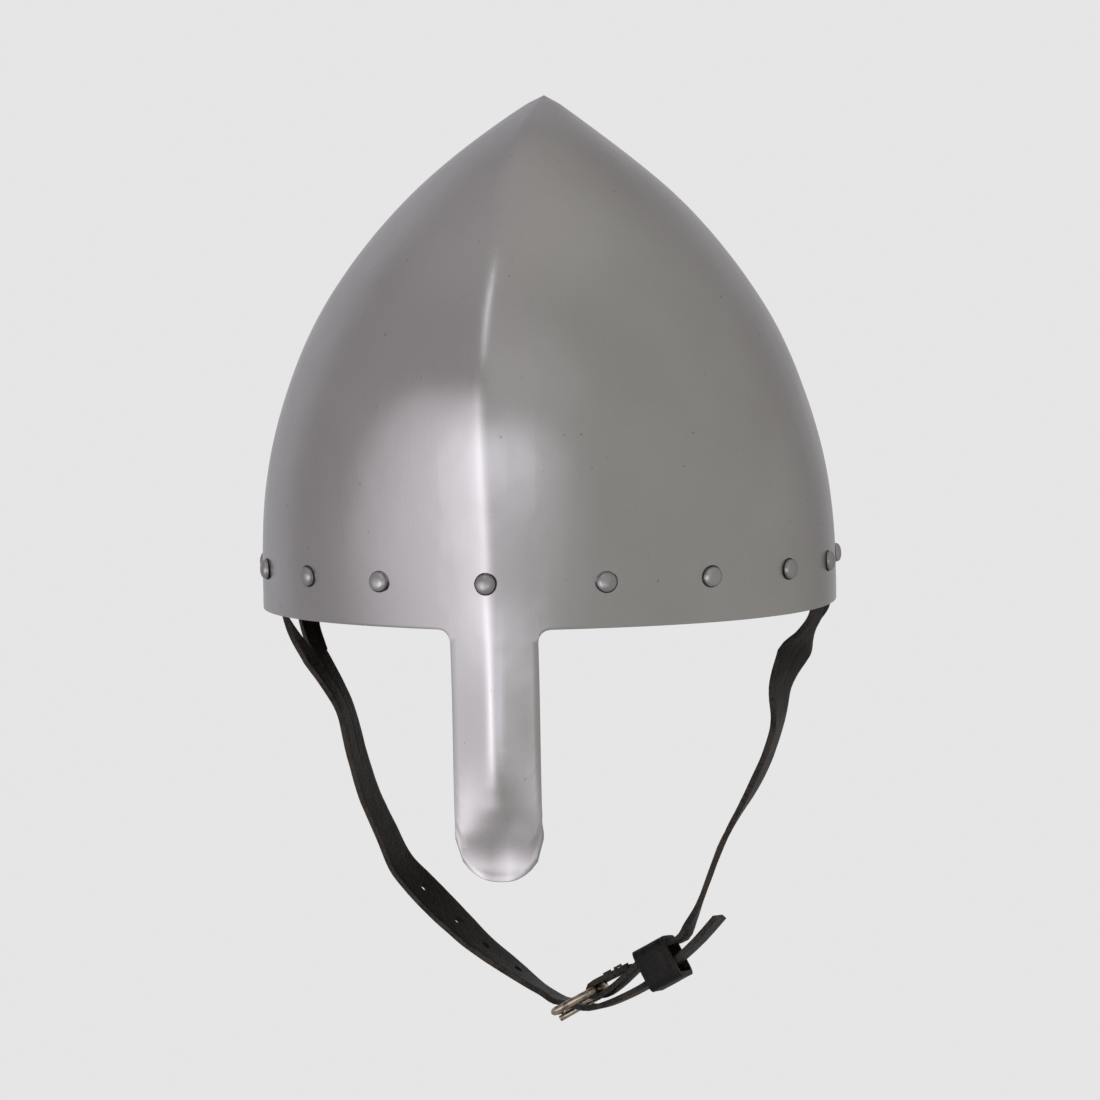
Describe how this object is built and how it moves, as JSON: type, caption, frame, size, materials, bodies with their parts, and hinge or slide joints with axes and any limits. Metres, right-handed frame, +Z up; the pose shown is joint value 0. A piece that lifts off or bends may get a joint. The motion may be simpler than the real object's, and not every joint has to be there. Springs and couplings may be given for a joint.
{
  "type": "nasal helmet",
  "caption": "Pointed steel nasal helmet with a medial ridge, a riveted rim, a leather tongue liner and a two-part buckled leather chin strap.",
  "frame": {"origin": "centre of the rim plane, where the helmet sits round the wearer's head", "axes": "+Z up through the apex, -Y the way the wearer faces, +X towards the wearer's left"},
  "size_m": [0.2102, 0.2418, 0.3392],
  "materials": {
    "steel": "satin brushed mild steel",
    "rivet_steel": "satin steel",
    "liner_leather": "plain brown split leather",
    "strap_leather": "black grained leather",
    "buckle_metal": "dull antique brass",
    "thread": "waxed thread",
    "lace": "round leather lace"
  },
  "bodies": {
    "helmet": {"skull": "steel", "rim_rivets": "rivet_steel", "rivet_burrs": "rivet_steel", "liner_band": "liner_leather", "liner_stitching": "thread", "crown_lace": "lace", "liner_tongue_1": "liner_leather", "liner_tongue_2": "liner_leather", "liner_tongue_3": "liner_leather", "liner_tongue_4": "liner_leather", "liner_tongue_5": "liner_leather", "liner_tongue_6": "liner_leather", "liner_tongue_7": "liner_leather", "liner_tongue_8": "liner_leather", "strap_leg_right_front": "strap_leather", "strap_leg_right_rear": "strap_leather", "strap_leg_left_front": "strap_leather", "strap_leg_left_rear": "strap_leather"},
    "chin_strap": {"chin_strap_long": "strap_leather", "chin_strap_short": "strap_leather", "fold_stitching": "thread"},
    "buckle": {"buckle_frame": "buckle_metal"},
    "prong": {"buckle_prong": "buckle_metal"},
    "keeper": {"strap_keeper": "strap_leather"}
  },
  "joints": [
    {"name": "chin_strap_swing", "type": "hinge", "parent": "helmet", "child": "chin_strap", "pos_m": [0, -0.005, -0.003], "axis": [1, 0, 0], "range_deg": [-55, 45], "deforming": ["strap_leg_right_front", "strap_leg_right_rear", "strap_leg_left_front", "strap_leg_left_rear"]},
    {"name": "buckle_turn", "type": "hinge", "parent": "chin_strap", "child": "buckle", "pos_m": [0.0172, -0.005, -0.1439], "axis": [-0.1024, -0.9781, 0.181], "range_deg": [0, 7]},
    {"name": "prong_lift", "type": "hinge", "parent": "buckle", "child": "prong", "pos_m": [0.0172, -0.005, -0.1439], "axis": [-0.1024, -0.9781, 0.181], "range_deg": [0, 7]},
    {"name": "keeper_slide", "type": "slide", "parent": "chin_strap", "child": "keeper", "axis": [0.8704, 0, 0.4924], "range_m": [-0.003, 0.004]}
  ]
}
